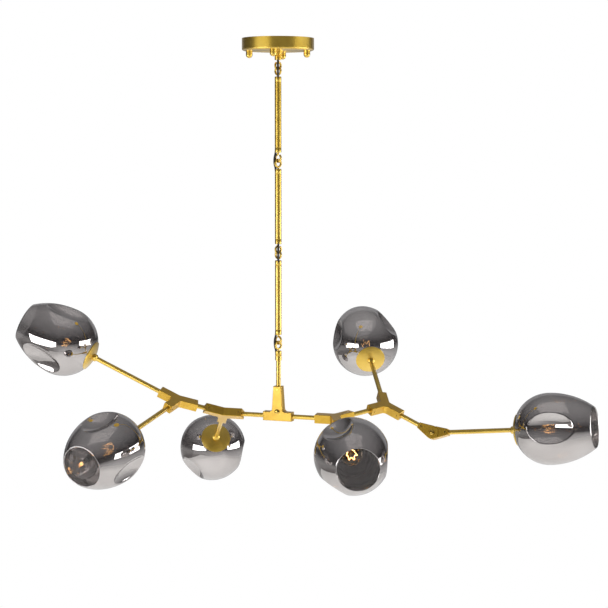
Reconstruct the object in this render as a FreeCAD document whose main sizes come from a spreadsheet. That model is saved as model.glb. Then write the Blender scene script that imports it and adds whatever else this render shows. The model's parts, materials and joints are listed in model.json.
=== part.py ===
import FreeCAD, Part
import math
import os

import Sketcher
from FreeCAD import Placement, Rotation, Vector

# A branching pendant with six blown glass shades on brass tubes, millimetres, +Z up.
# The origin is the centre of the ceiling bracket's top face; +X is the right and +Y the
# far side of the pendant as it is usually seen.

# ---------------------------------------------------------------- driving sizes
SIZES = [
    ("canopy_diameter", 152.0, "ceiling canopy, outside"),
    ("canopy_height", 26.0, "ceiling canopy, outside"),
    ("canopy_wall", 1.6, "pressed sheet"),
    ("canopy_corner", 4.0, "outer radius between side and face"),
    ("stud_circle", 123.0, "circle through the four canopy studs"),
    ("stud_start_angle", -8.5, "degrees from +X to the first stud"),
    ("stud_diameter", 4.0, "canopy studs"),
    ("stud_below_face", 11.0, "stud length under the canopy face"),
    ("nut_diameter", 14.0, "domed canopy nuts"),
    ("nut_height", 15.0, "domed canopy nuts"),
    ("bracket_width", 18.0, "one arm of the cross bracket"),
    ("bracket_thickness", 2.5, "cross bracket plate"),
    ("ceiling_screw_circle", 80.0, "circle through the four ceiling screw holes"),
    ("ceiling_screw_hole", 5.2, "hole for a ceiling screw"),
    ("nipple_diameter", 10.0, "hollow threaded stem of the hook hub"),
    ("nipple_bore", 7.0, "cable way in the hub"),
    ("hub_flange_diameter", 22.0, "flange under the canopy"),
    ("hub_flange_height", 5.0, "flange under the canopy"),
    ("hub_nut_width", 17.0, "lock nut across its flats"),
    ("hub_nut_height", 6.0, "lock nut"),
    ("wire_diameter", 4.5, "wire of the hook and of every eye"),
    ("eye_radius", 7.9, "centre of an eye to the middle of its wire"),
    ("eye_gap", 0.3, "play between two linked eyes"),
    ("first_joint_drop", 65.0, "ceiling to the first pair of eyes"),
    ("link_pitch", 194.0, "one pair of eyes to the next"),
    ("link_diameter", 14.0, "turned link rod"),
    ("end_taper", 9.0, "cone at each end of a link rod"),
    ("end_neck", 4.0, "neck between the cone and the eye"),
    ("cable_diameter", 4.4, "supply cable"),
    ("cable_offset", 4.65, "cable port from the rod's axis"),
    ("cable_port_depth", 6.0, "port below the start of the cone"),
    ("cable_play", 0.1, "port wall to cable"),
    ("cable_bulge", 12.5, "cable from the axis where it passes the eyes"),
    ("cable_clear", 2.0, "end of the cable's straight run, short of the eye"),
    ("cable_slant", 11.0, "height in which the cable swings out"),
    ("collar_height", 9.0, "collar at the top of the down rod"),
    ("tube_diameter", 10.0, "every arm tube and the down rod"),
    ("tube_bore", 7.6, "inside of the arm tubes"),
    ("socket_play", 0.05, "tube to socket wall, radial"),
    ("socket_depth", 26.0, "tube length held in a fitting"),
    ("tee_drop", 156.0, "last pair of eyes to the middle of the tee"),
    ("tee_length", 65.0, "bar of the tee"),
    ("tee_height", 19.4, "bar of the tee"),
    ("tee_depth", 19.0, "both shells together"),
    ("tee_seam", 0.2, "gap between the two shells"),
    ("tee_neck_top", 65.0, "middle of the bar to the top of the neck"),
    ("tee_neck_width", 17.7, "neck at its top"),
    ("tee_root_width", 24.0, "neck where its root radius starts"),
    ("tee_root_radius", 7.0, "neck into bar"),
    ("tee_screw_height", 10.5, "middle of the bar to the clamp screw"),
    ("tee_screw_shank", 4.0, "clamp screw"),
    ("pan_head", 11.0, "pan head of the clamp screw and of the pivot screw"),
    ("pan_head_rim", 1.2, "straight side of a pan head"),
    ("pan_head_rise", 2.0, "dome of a pan head"),
    ("grub_diameter", 4.0, "set screw"),
    ("grub_play", 0.1, "set screw to its hole, radial"),
    ("grub_proud", 0.4, "set screw above the casting"),
    ("grub_inset", 7.0, "set screw from the end of its arm"),
    ("grub_side_step", 4.8, "set screw of the tee from its seam"),
    ("arm_length", 44.0, "arm of a three-way casting from its middle"),
    ("arm_width", 19.5, "arm of a three-way casting"),
    ("arm_thickness", 19.0, "three-way casting across its plane"),
    ("wire_chamber", 7.0, "wire way inside the castings"),
    ("crotch_radius", 7.0, "between two arms of a casting"),
    ("casting_edge", 1.5, "rounded edge of the castings"),
    ("reach_left", 126.1, "tee to the inner left casting"),
    ("reach_right", 128.4, "tee to the inner right casting"),
    ("reach_far_left", 105.3, "inner left casting to the outer one"),
    ("reach_far_right", 138.0, "inner right casting to the outer one"),
    ("reach_knuckle", 126.3, "outer right casting to the knuckle's pivot"),
    ("lobe_diameter", 29.0, "knuckle blade round its pivot"),
    ("knuckle_length", 35.0, "pivot to the end of a blade"),
    ("knuckle_end_height", 13.0, "blade at its tube end"),
    ("knuckle_width", 18.0, "both blades together"),
    ("knuckle_socket", 18.0, "tube length held in a blade"),
    ("blade_gap", 0.3, "between the two blades"),
    ("pivot_diameter", 5.0, "pivot screw"),
    ("globe_radius", 75.0, "shade, the round back part"),
    ("globe_seat", 67.0, "cup rim to the middle of the round part"),
    ("globe_reach", 95.0, "middle of the round part to the open rim"),
    ("globe_mouth", 43.0, "radius of the open rim"),
    ("glass_wall", 2.5, "blown glass"),
    ("glass_hole_play", 0.7, "lampholder to the edge of the glass hole"),
    ("dimple_depth", 12.0, "middle of a pressed-in dimple"),
    ("dimple_across", 70.0, "radius of the dimple across the shade"),
    ("dimple_along", 270.0, "radius of the dimple along the shade"),
    ("dimple_place", 10.0, "middle of a dimple in front of the globe's middle"),
    ("cup_radius", 33.0, "brass cup behind the shade"),
    ("cup_wall", 1.4, "brass cup"),
    ("cup_play", 0.3, "cup to glass"),
    ("cup_collar_radius", 8.0, "collar that joins the cup to its tube"),
    ("cup_collar_length", 8.0, "collar that joins the cup to its tube"),
    ("holder_radius", 13.8, "lampholder"),
    ("holder_length", 41.0, "lampholder"),
    ("holder_floor", 15.0, "solid back of the lampholder"),
    ("ring_radius", 20.0, "ring that clamps the glass"),
    ("ring_height", 5.4, "ring that clamps the glass"),
    ("base_radius", 7.0, "lamp base"),
    ("base_play", 0.3, "lamp base to lampholder"),
    ("bulb_radius", 22.5, "lamp bulb"),
    ("bulb_stand", 27.9, "mouth of the lampholder to the middle of the bulb"),
    ("bulb_wall", 1.0, "glass of the bulb"),
    ("bulb_neck_radius", 9.0, "where the bulb's neck meets the round part"),
    ("lamp_reach_1", 217.0, "far left casting to the cup rim of lamp 1"),
    ("lamp_reach_2", 206.0, "far left casting to the cup rim of lamp 2"),
    ("lamp_reach_3", 194.0, "left casting to the cup rim of lamp 3"),
    ("lamp_reach_4", 197.5, "right casting to the cup rim of lamp 4"),
    ("lamp_reach_5", 194.0, "far right casting to the cup rim of lamp 5"),
    ("lamp_reach_6", 187.0, "knuckle pivot to the cup rim of lamp 6"),
]


class Size:
    """A number together with the sheet expression that it comes from."""

    def __init__(self, value, text):
        self.value = float(value)
        self.text = text

    def __add__(self, other):
        other = as_size(other)
        return Size(self.value + other.value, f"({self.text} + {other.text})")

    def __sub__(self, other):
        other = as_size(other)
        return Size(self.value - other.value, f"({self.text} - {other.text})")

    def __mul__(self, other):
        other = as_size(other)
        return Size(self.value * other.value, f"({self.text} * {other.text})")

    def __truediv__(self, other):
        other = as_size(other)
        return Size(self.value / other.value, f"({self.text} / {other.text})")

    def __neg__(self):
        return Size(-self.value, f"(-1 * {self.text})")

    def root(self):
        return Size(math.sqrt(self.value), f"sqrt({self.text})")


def as_size(number):
    return number if isinstance(number, Size) else Size(number, f"({number:g})")


doc = FreeCAD.newDocument("ClusterPendant")
sheet = doc.addObject("Spreadsheet::Sheet", "Sizes")
for row, (alias, value, note) in enumerate(SIZES, 1):
    sheet.set(f"A{row}", alias)
    sheet.set(f"B{row}", f"{value:g}")
    sheet.set(f"C{row}", note)
    sheet.setAlias(f"B{row}", alias)
doc.recompute()


class Driving:
    """Every sheet size by its name, such as d.tube_diameter."""


d = Driving()
for alias, value, note in SIZES:
    setattr(d, alias, Size(sheet.get(alias), f"Sizes.{alias}"))

ZERO = as_size(0)
NODES = []


# ---------------------------------------------------------------- how pieces are drawn
def node(thing, name, place=None):
    """Give a finished sub-part its name and its place in the pendant."""
    thing.Label = name
    if place is not None:
        thing.Placement = place.multiply(thing.Placement)
    NODES.append(thing)
    return thing


def bind(thing, **sizes):
    for name, number in sizes.items():
        thing.setExpression(name.replace("_at_", "."), as_size(number).text)


def move(thing, x=None, y=None, z=None):
    for letter, number in (("x", x), ("y", y), ("z", z)):
        if number is not None:
            thing.setExpression(f"Placement.Base.{letter}", as_size(number).text)


def cylinder(name, radius, height, direction=Vector(0, 0, 1), **where):
    thing = doc.addObject("Part::Cylinder", name)
    bind(thing, Radius=radius, Height=height)
    thing.Placement = Placement(Vector(), Rotation(Vector(0, 0, 1), direction))
    move(thing, **where)
    return thing


def box(name, length, width, height, turn=Rotation(), **where):
    thing = doc.addObject("Part::Box", name)
    bind(thing, Length=length, Width=width, Height=height)
    thing.Placement = Placement(Vector(), turn)
    move(thing, **where)
    return thing


def torus(name, ring, wire, turn=Rotation(), **where):
    thing = doc.addObject("Part::Torus", name)
    bind(thing, Radius1=ring, Radius2=wire)
    thing.Placement = Placement(Vector(), turn)
    move(thing, **where)
    return thing


def fuse(name, things):
    joined = doc.addObject("Part::MultiFuse", name)
    joined.Shapes = things
    return joined


def cut(name, base, tools):
    tool = tools[0] if len(tools) == 1 else fuse(name + "_tools", tools)
    result = doc.addObject("Part::Cut", name)
    result.Base = base
    result.Tool = tool
    return result


def group(name, things):
    """Several like pieces that stay separate solids."""
    together = doc.addObject("Part::Compound", name)
    together.Links = things
    return together


def rounded(name, base, radius, wanted):
    """Fillet the edges of base for which wanted(edge) is true."""
    doc.recompute()
    result = doc.addObject("Part::Fillet", name)
    result.Base = base
    chosen = []
    for number, edge in enumerate(base.Shape.Edges, 1):
        if wanted(edge):
            chosen.append((number, radius.value, radius.value))
    result.Edges = chosen
    return result


def plane(body, role):
    for feature in body.Origin.OriginFeatures:
        if feature.Role == role:
            return feature
    raise ValueError(role)


def pin_point(sketch, geometry, end, x, y):
    """Hold one end of a line at x, y from the sketch's origin."""
    for kind, number, axis in (("DistanceX", x, -2), ("DistanceY", y, -1)):
        if abs(number.value) < 1e-9:
            sketch.addConstraint(Sketcher.Constraint("PointOnObject", geometry, end, axis))
            continue
        index = sketch.addConstraint(
            Sketcher.Constraint(kind, -1, 1, geometry, end, number.value))
        sketch.setExpression(f"Constraints[{index}]", number.text)


def arc_between(start, end, radius, side):
    """Arc from start to end whose centre is on the given side (+1 left, -1 right) of the chord."""
    chord = end - start
    half = chord.Length / 2
    height = math.sqrt(max(radius ** 2 - half ** 2, 0.0))
    left = Vector(-chord.y, chord.x, 0).normalize()
    centre = (start + end) * 0.5 + left * (height * side)
    first = math.atan2(start.y - centre.y, start.x - centre.x)
    last = math.atan2(end.y - centre.y, end.x - centre.x)
    if side < 0:
        first, last = last, first
    circle = Part.Circle(centre, Vector(0, 0, 1), radius)
    return Part.ArcOfCircle(circle, first, last)


def outline(body, role, points):
    """A closed sketch. Each entry is (x, y), or (x, y, radius, side) for an arc that leads there."""
    sketch = body.newObject("Sketcher::SketchObject", body.Name + "_sketch")
    sketch.AttachmentSupport = (plane(body, role), [""])
    sketch.MapMode = "FlatFace"
    points = [tuple(as_size(n) if i < 3 else n for i, n in enumerate(p)) for p in points]
    count = len(points)
    joints = []
    for index, point in enumerate(points):
        before = points[index - 1]
        start = Vector(before[0].value, before[1].value, 0)
        end = Vector(point[0].value, point[1].value, 0)
        if len(point) == 2:
            geometry = sketch.addGeometry(Part.LineSegment(start, end))
            joints.append((geometry, 1, 2))
            continue
        arc = arc_between(start, end, point[2].value, point[3])
        geometry = sketch.addGeometry(arc)
        joints.append((geometry, 1, 2) if point[3] > 0 else (geometry, 2, 1))
    for index in range(count):
        this, after = joints[index], joints[(index + 1) % count]
        sketch.addConstraint(
            Sketcher.Constraint("Coincident", this[0], this[2], after[0], after[1]))
        pin_point(sketch, this[0], this[2], points[index][0], points[index][1])
        if len(points[index]) == 4:
            radius = points[index][2]
            number = sketch.addConstraint(
                Sketcher.Constraint("Radius", this[0], radius.value))
            sketch.setExpression(f"Constraints[{number}]", radius.text)
    return sketch


def turned(name, points):
    """A PartDesign body turned about Z from a half outline of (radius, height) points."""
    body = doc.addObject("PartDesign::Body", name)
    sketch = outline(body, "XZ_Plane", points)
    feature = body.newObject("PartDesign::Revolution", name + "_turned")
    feature.Profile = sketch
    feature.ReferenceAxis = (sketch, ["V_Axis"])
    feature.Angle = 360.0
    sketch.Visibility = False
    return body


def padded(name, role, points, depth, reverse=False):
    """A PartDesign body padded from a closed outline."""
    body = doc.addObject("PartDesign::Body", name)
    sketch = outline(body, role, points)
    feature = body.newObject("PartDesign::Pad", name + "_pad")
    feature.Profile = sketch
    feature.Reversed = reverse
    bind(feature, Length=depth)
    return body


# ---------------------------------------------------------------- where things are
UP = Vector(0, 0, 1)
TEE_YAW = 18.8          # the tee's right end comes this far towards the viewer
# turn of the casting about its first arm, then that arm to the next arm and to the lamp arm
LEFT_FORK = (150.6, 145.0, 114.8)
FAR_LEFT_FORK = (27.7, 156.5, 122.6)
RIGHT_FORK = (173.2, 123.4, 114.6)
FAR_RIGHT_FORK = (-25.5, 108.1, 119.1)
KNUCKLE_TURN = 71.3     # pivot axis about the incoming tube
KNUCKLE_BEND = 29.0     # outgoing tube against the incoming one
EYE_TURN = 45.0         # the first hook's plane about Z; each eye is square to its hook
HOOK_OPENING = 40.0     # a hook leaves this much of its ring open
CABLE_SIDES = (270.0, 180.0, 270.0, 180.0)      # where the cable passes each pair of eyes
DIMPLE_TURNS = (20.0, 75.0, 10.0, 35.0, 60.0, 0.0)


def square_to(direction):
    """The most upright direction that is square to the given one."""
    return (UP - direction * UP.dot(direction)).normalize()


def fork(inward, turn, next_angle, lamp_angle):
    """Plane normal, next arm and lamp arm of a casting whose first arm points inward."""
    normal = Rotation(inward, turn).multVec(square_to(inward))
    next_arm = Rotation(normal, next_angle).multVec(inward)
    lamp_arm = Rotation(normal, -lamp_angle).multVec(inward)
    return normal, next_arm, lamp_arm


def frame(origin, z_axis, x_hint):
    """Placement whose Z runs along z_axis and whose X is as near x_hint as it can be."""
    y_axis = z_axis.cross(x_hint).normalize()
    x_axis = y_axis.cross(z_axis).normalize()
    return Placement(origin, Rotation(x_axis, y_axis, z_axis, "ZXY"))


tee_level = -(d.first_joint_drop + d.link_pitch * 3 + d.tee_drop)
tee_middle = Vector(0, 0, tee_level.value)
tee_right = Rotation(UP, -TEE_YAW).multVec(Vector(1, 0, 0))

left_at = tee_middle - tee_right * d.reach_left.value
left_normal, left_next, left_lamp = fork(tee_right, *LEFT_FORK)
far_left_at = left_at + left_next * d.reach_far_left.value
far_left_normal, far_left_next, far_left_lamp = fork(-left_next, *FAR_LEFT_FORK)
right_at = tee_middle + tee_right * d.reach_right.value
right_normal, right_next, right_lamp = fork(-tee_right, *RIGHT_FORK)
far_right_at = right_at + right_next * d.reach_far_right.value
far_right_normal, far_right_next, far_right_lamp = fork(-right_next, *FAR_RIGHT_FORK)
pivot_at = far_right_at + far_right_next * d.reach_knuckle.value
pivot_axis = Rotation(far_right_next, KNUCKLE_TURN).multVec(square_to(far_right_next))
end_arm = Rotation(pivot_axis, KNUCKLE_BEND).multVec(far_right_next)

# ---------------------------------------------------------------- ceiling canopy
canopy_radius = d.canopy_diameter / 2
stud_radius = d.stud_circle / 2
nipple_hole = d.nipple_diameter / 2 + d.grub_play
canopy = turned("canopy_body", [
    (nipple_hole, -d.canopy_height),
    (canopy_radius - d.canopy_corner, -d.canopy_height),
    (canopy_radius, d.canopy_corner - d.canopy_height, d.canopy_corner, 1),
    (canopy_radius, 0),
    (canopy_radius - d.canopy_wall, 0),
    (canopy_radius - d.canopy_wall, d.canopy_corner - d.canopy_height),
    (canopy_radius - d.canopy_corner, d.canopy_wall - d.canopy_height,
     d.canopy_corner - d.canopy_wall, -1),
    (nipple_hole, d.canopy_wall - d.canopy_height),
])


def around(name, make, count, circle_radius, start_angle):
    """Copies of what make(name) draws, evenly spaced round Z."""
    copies = []
    for number in range(count):
        thing = make(f"{name}_{number + 1}")
        angle = start_angle + 360.0 * number / count
        spin = Placement(Vector(), Rotation(UP, angle))
        step = Placement(Vector(circle_radius.value, 0, 0), Rotation())
        thing.Placement = spin.multiply(step).multiply(thing.Placement)
        copies.append(thing)
    return copies


stud_start = d.stud_start_angle.value
stud_holes = around(
    "stud_hole",
    lambda name: cylinder(name, d.stud_diameter / 2 + d.grub_play, d.canopy_height * 2,
                          Vector(0, 0, -1)),
    4, stud_radius, stud_start)
node(cut("canopy_cut", canopy, stud_holes), "canopy")

# cross bracket that is screwed to the ceiling, with the studs riveted into its arms
bracket_reach = stud_radius + d.bracket_width / 2
bracket_arms = [
    box(f"bracket_arm_{turn}", bracket_reach * 2, d.bracket_width, d.bracket_thickness)
    for turn in (0, 90)]
for arm, turn in zip(bracket_arms, (0, 90)):
    middle = Placement(
        Vector(-bracket_reach.value, -d.bracket_width.value / 2, -d.bracket_thickness.value),
        Rotation())
    arm.Placement = Placement(Vector(), Rotation(UP, stud_start + turn)).multiply(middle)
studs = around(
    "stud",
    lambda name: cylinder(name, d.stud_diameter / 2,
                          d.canopy_height + d.stud_below_face - d.bracket_thickness / 2,
                          Vector(0, 0, -1), z=-d.bracket_thickness / 2),
    4, stud_radius, stud_start)
ceiling_holes = around(
    "ceiling_hole",
    lambda name: cylinder(name, d.ceiling_screw_hole / 2, d.bracket_thickness * 3,
                          Vector(0, 0, -1), z=d.bracket_thickness),
    4, d.ceiling_screw_circle / 2, stud_start)
centre_hole = cylinder("centre_hole", nipple_hole, d.bracket_thickness * 3,
                       Vector(0, 0, -1), z=d.bracket_thickness)
bracket = cut("bracket_plate", fuse("bracket_cross", bracket_arms),
              ceiling_holes + [centre_hole])
node(fuse("bracket_with_studs", [bracket] + studs), "ceiling_bracket")

nut_radius = d.nut_diameter / 2
nut_bore = d.stud_diameter / 2 + d.grub_play
nut_thread = d.stud_below_face + d.grub_play


def cap_nut(name):
    """Domed nut, its open end up against the canopy."""
    return turned(name, [
        (nut_bore, 0),
        (nut_bore, -nut_thread),
        (0, -nut_thread),
        (0, -d.nut_height),
        (nut_radius, nut_radius - d.nut_height, nut_radius, 1),
        (nut_radius, 0),
    ])


nuts = around("cap_nut", cap_nut, 4, stud_radius, stud_start)
for nut in nuts:
    nut.Placement.Base.z = -d.canopy_height.value
node(group("cap_nut_set", nuts), "cap_nuts")

# hook hub: hollow threaded stem, flange, and the same end as a rod's with an open hook
wire_radius = d.wire_diameter / 2
eye_outer = d.eye_radius + wire_radius
link_radius = d.link_diameter / 2
end_length = d.end_taper + d.end_neck
cable_radius = d.cable_diameter / 2
joint_height = [-(d.first_joint_drop + d.link_pitch * n) for n in range(4)]


def eye_plane(joint):
    """Turn about Z of the eye below a joint; the one above it is a quarter turn back."""
    return EYE_TURN + 90.0 * (joint + 1)


def eye(name, joint, above, gap_angle=0.0):
    """Ring of a joint, in the joint's own frame; a hook leaves gap_angle of it open."""
    turn = eye_plane(joint) - (90.0 if above else 0.0)
    stand = Rotation(UP, turn).multiply(Rotation(Vector(1, 0, 0), 90))
    middle = d.eye_radius if above else d.wire_diameter + d.eye_gap - d.eye_radius
    ring = doc.addObject("Part::Torus", name)
    bind(ring, Radius1=d.eye_radius, Radius2=wire_radius)
    ring.Angle3 = 360.0 - gap_angle
    ring.Placement = Placement(Vector(), stand.multiply(Rotation(UP, 90 + gap_angle)))
    move(ring, z=joint_height[joint] + middle)
    return ring


def link_end(edge, sign):
    """Outline of a rod's end, from its cylinder to its neck, that carries an eye at edge."""
    return [
        (link_radius, edge - end_length * sign),
        (wire_radius, edge - d.end_neck * sign),
        (wire_radius, edge + wire_radius * sign),
    ]


def upper_edge(joint):
    """Where the eye above a joint meets the neck that carries it."""
    return joint_height[joint] + d.eye_radius * 2 + wire_radius


def lower_edge(joint):
    return joint_height[joint] + d.wire_diameter + d.eye_gap - d.eye_radius * 2 - wire_radius


def port(name, joint, above):
    """Drill for the cable, beside the rod's axis, through the cone and into the rod."""
    sign = 1 if above else -1
    edge = upper_edge(joint) if above else lower_edge(joint)
    floor = edge + (end_length + d.cable_port_depth) * sign
    side = Rotation(UP, CABLE_SIDES[joint]).multVec(Vector(1, 0, 0)) * d.cable_offset.value
    drill = cylinder(name, cable_radius + d.cable_play, d.end_taper + d.cable_port_depth,
                     Vector(0, 0, -sign))
    drill.Placement.Base = side
    move(drill, z=floor)
    return drill


hub_face = -d.canopy_height - d.hub_flange_height
hub = turned("hub_body", [
    (d.nipple_bore / 2, 0),
    (d.nipple_bore / 2, hub_face),
    (0, hub_face),
    (0, upper_edge(0) - wire_radius),
    *reversed(link_end(upper_edge(0), -1)),
    (link_radius, hub_face),
    (d.hub_flange_diameter / 2, hub_face),
    (d.hub_flange_diameter / 2, -d.canopy_height),
    (d.nipple_diameter / 2, -d.canopy_height),
    (d.nipple_diameter / 2, 0),
])
hub_hook = fuse("hub_and_hook", [hub, eye("hub_eye", 0, True, HOOK_OPENING)])
node(cut("hub_drilled", hub_hook, [port("hub_port", 0, True)]), "hook_hub")

hub_nut = doc.addObject("Part::Prism", "hub_nut_hexagon")
hub_nut.Polygon = 6
bind(hub_nut, Circumradius=d.hub_nut_width / math.sqrt(3), Height=d.hub_nut_height)
move(hub_nut, z=d.canopy_wall - d.canopy_height)
hub_nut_hole = cylinder("hub_nut_hole", nipple_hole, d.canopy_height,
                        z=-d.canopy_height)
node(cut("hub_nut_cut", hub_nut, [hub_nut_hole]), "hub_lock_nut")

# ---------------------------------------------------------------- stem of linked rods
for number in range(1, 4):
    above, below = number - 1, number
    rod = turned(f"rod_{number}", [
        (0, lower_edge(above) + wire_radius),
        *reversed(link_end(lower_edge(above), 1)),
        *link_end(upper_edge(below), -1),
        (0, upper_edge(below) - wire_radius),
    ])
    joined = fuse(f"rod_{number}_joined", [
        rod,
        eye(f"rod_{number}_eye", above, False),
        eye(f"rod_{number}_hook", below, True, HOOK_OPENING)])
    ports = [port(f"rod_{number}_top_port", above, False),
             port(f"rod_{number}_low_port", below, True)]
    node(cut(f"rod_{number}_drilled", joined, ports), f"link_rod_{number}")

tube_radius = d.tube_diameter / 2
socket_radius = tube_radius + d.socket_play
collar_low = lower_edge(3) - end_length - d.collar_height
tube_stop = d.tee_length / 2 - d.socket_depth
down = turned("down_rod_body", [
    (0, lower_edge(3) + wire_radius),
    *reversed(link_end(lower_edge(3), 1)),
    (link_radius, collar_low),
    (tube_radius, collar_low),
    (tube_radius, tee_level + d.tee_neck_top - d.socket_depth),
    (0, tee_level + d.tee_neck_top - d.socket_depth),
])
down_eye = fuse("down_rod_and_eye", [down, eye("down_rod_eye", 3, False)])
node(cut("down_rod_drilled", down_eye, [port("down_rod_port", 3, False)]), "down_rod")


def cord_path(points):
    """Straight runs joined by tangent arcs, as large as the runs beside them allow."""
    edges = []
    radii = []
    start = points[0]
    for before, corner, after in zip(points, points[1:], points[2:]):
        into = (corner - before).normalize()
        out = (after - corner).normalize()
        half_turn = into.getAngle(out) / 2
        reach = 0.45 * min((corner - before).Length, (after - corner).Length)
        first = corner - into * reach
        last = corner + out * reach
        radius = reach / math.tan(half_turn)
        inside = (out - into).normalize()
        middle = corner + inside * (radius / math.cos(half_turn) - radius)
        radii.append(round(radius, 1))
        edges.append(Part.LineSegment(start, first).toShape())
        edges.append(Part.Arc(first, middle, last).toShape())
        start = last
    edges.append(Part.LineSegment(start, points[-1]).toShape())
    return Part.Wire(edges), radii


# the cable leaves one rod and enters the next beside their eyes
for joint in range(4):
    side = Rotation(UP, CABLE_SIDES[joint]).multVec(Vector(1, 0, 0))
    top = (upper_edge(joint) + end_length + d.cable_port_depth).value
    low = (lower_edge(joint) - end_length - d.cable_port_depth).value
    near, far = d.cable_offset.value, d.cable_bulge.value
    straight = (end_length + d.cable_port_depth).value - d.cable_clear.value
    slant = straight + d.cable_slant.value
    stops = [(near, top), (near, top - straight), (far, top - slant),
             (far, low + slant), (near, low + straight), (near, low)]
    path, radii = cord_path([side * out + UP * high for out, high in stops])
    section = Part.Wire(Part.makeCircle(cable_radius.value, path.Vertexes[0].Point, UP))
    tube = path.makePipeShell([section], True, False)
    full = math.pi * cable_radius.value ** 2 * path.Length
    print("cable", joint + 1, "radii", radii, "length", round(path.Length, 1),
          "volume ratio", round(tube.Volume / full, 4))
    jumper = doc.addObject("Part::Feature", f"jumper_{joint + 1}")
    jumper.Shape = tube
    node(jumper, f"cable_jumper_{joint + 1}")

# ---------------------------------------------------------------- tee
tee_place = Placement(tee_middle, Rotation(tee_right, UP.cross(tee_right), UP, "XYZ"))
half_bar = d.tee_length / 2
half_high = d.tee_height / 2
half_root = d.tee_root_width / 2
half_neck = d.tee_neck_width / 2
seam = d.tee_seam / 2
shell_depth = (d.tee_depth - d.tee_seam) / 2
tee_outline = [
    (-half_bar, -half_high),
    (half_bar, -half_high),
    (half_bar, half_high),
    (half_root + d.tee_root_radius, half_high),
    (half_root, half_high + d.tee_root_radius, d.tee_root_radius, -1),
    (half_neck, d.tee_neck_top),
    (-half_neck, d.tee_neck_top),
    (-half_root, half_high + d.tee_root_radius),
    (-half_root - d.tee_root_radius, half_high, d.tee_root_radius, -1),
    (-half_bar, half_high),
]
grub_radius = d.grub_diameter / 2
grub_hole = grub_radius + d.grub_play
shank_radius = d.tee_screw_shank / 2


def tee_shell(name, reverse):
    """One half of the tee: outline padded away from the seam, with its outer edges rounded."""
    shell = padded(name, "XZ_Plane", tee_outline, shell_depth, reverse)
    away = 1 if reverse else -1
    move(shell, y=seam * away)
    outer = (seam + shell_depth).value * away

    def on_outer_face(edge):
        return abs(edge.BoundBox.YMin - outer) < 0.01 and abs(edge.BoundBox.YMax - outer) < 0.01

    soft = rounded(name + "_soft", shell, d.casting_edge, on_outer_face)
    drills = [
        cylinder(name + "_bar_bore", socket_radius, d.tee_length * 2, Vector(1, 0, 0),
                 x=-d.tee_length),
        cylinder(name + "_neck_bore", socket_radius, d.tee_neck_top * 2),
        cylinder(name + "_screw_hole", shank_radius + d.grub_play, d.tee_depth * 2,
                 Vector(0, 1, 0), y=-d.tee_depth, z=d.tee_screw_height),
    ]
    if not reverse:
        for label, x, y, z, direction in tee_grubs:
            drill = cylinder(f"{name}_{label}", grub_hole, d.tee_height, direction)
            move(drill, x=x, y=y, z=z)
            drills.append(drill)
    return cut(name + "_bored", soft, drills)


grub_x = half_bar - d.grub_inset
grub_tip = tube_radius + d.socket_play
side_step = -d.grub_side_step
# these screws bear on the tube's flank, where their inner edge meets it
off_middle = d.grub_side_step - d.grub_diameter / 2
flank = (socket_radius * socket_radius - off_middle * off_middle).root()
# name, place of the tip on the tube, and the way that the screw points out
tee_grubs = [
    ("grub_left_top", -grub_x, side_step, flank, UP),
    ("grub_right_top", grub_x, side_step, flank, UP),
    ("grub_left_low", -grub_x, side_step, -flank, -UP),
    ("grub_right_low", grub_x, side_step, -flank, -UP),
    ("grub_neck", ZERO, -grub_tip, d.tee_neck_top - d.grub_inset, Vector(0, -1, 0)),
]
node(tee_shell("tee_front", False), "tee_front_shell", tee_place)
node(tee_shell("tee_back", True), "tee_back_shell", tee_place)


def set_screw(name, length):
    """Headless screw with a hexagon socket, tip at the origin and pointing along Z."""
    body = cylinder(name, grub_radius, length)
    key = doc.addObject("Part::Prism", name + "_key")
    key.Polygon = 6
    bind(key, Circumradius=grub_radius * 0.58, Height=length)
    move(key, z=length * 0.6)
    return cut(name + "_socketed", body, [key])


def stand(thing, base, direction):
    """Put a piece drawn along Z at base, pointing along direction."""
    thing.Placement = Placement(base, Rotation(UP, direction)).multiply(thing.Placement)
    return thing


tee_set = []
for label, x, y, z, direction in tee_grubs:
    upright = abs(direction.z) > 0.5
    outside = half_high - flank if upright else seam + shell_depth - grub_tip
    screw = set_screw("tee_" + label, outside + d.grub_proud - d.grub_play)
    tip = Vector(x.value, y.value, z.value) + direction * d.grub_play.value
    tee_set.append(stand(screw, tip, direction))
node(group("tee_set_screws_group", tee_set), "tee_set_screws", tee_place)



def pan_screw(name, radius, length):
    """Pan-head screw along Z, the underside of its head at the origin."""
    head = d.pan_head / 2
    dome = (head * head + d.pan_head_rise * d.pan_head_rise) / (d.pan_head_rise * 2)
    return turned(name, [
        (0, -length),
        (radius, -length),
        (radius, 0),
        (head, 0),
        (head, d.pan_head_rim),
        (0, d.pan_head_rim + d.pan_head_rise, dome, 1),
    ])


tee_screw = pan_screw("tee_screw_body", shank_radius, d.tee_depth)
tee_screw_place = Placement(
    Vector(0, -(seam + shell_depth).value, d.tee_screw_height.value),
    Rotation(UP, Vector(0, -1, 0)))
node(tee_screw, "tee_clamp_screw", tee_place.multiply(tee_screw_place))


# ---------------------------------------------------------------- tubes and castings
def arm_tube(name, reach, inner_stop, outer_stop):
    """Tube from one socket floor to the next; drawn along Z from the first casting's middle."""
    return turned(name + "_body", [
        (d.tube_bore / 2, inner_stop),
        (tube_radius, inner_stop),
        (tube_radius, reach - outer_stop),
        (d.tube_bore / 2, reach - outer_stop),
    ])


arm_stop = d.arm_length - d.socket_depth
half_arm = d.arm_width / 2
half_thick = d.arm_thickness / 2


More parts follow.
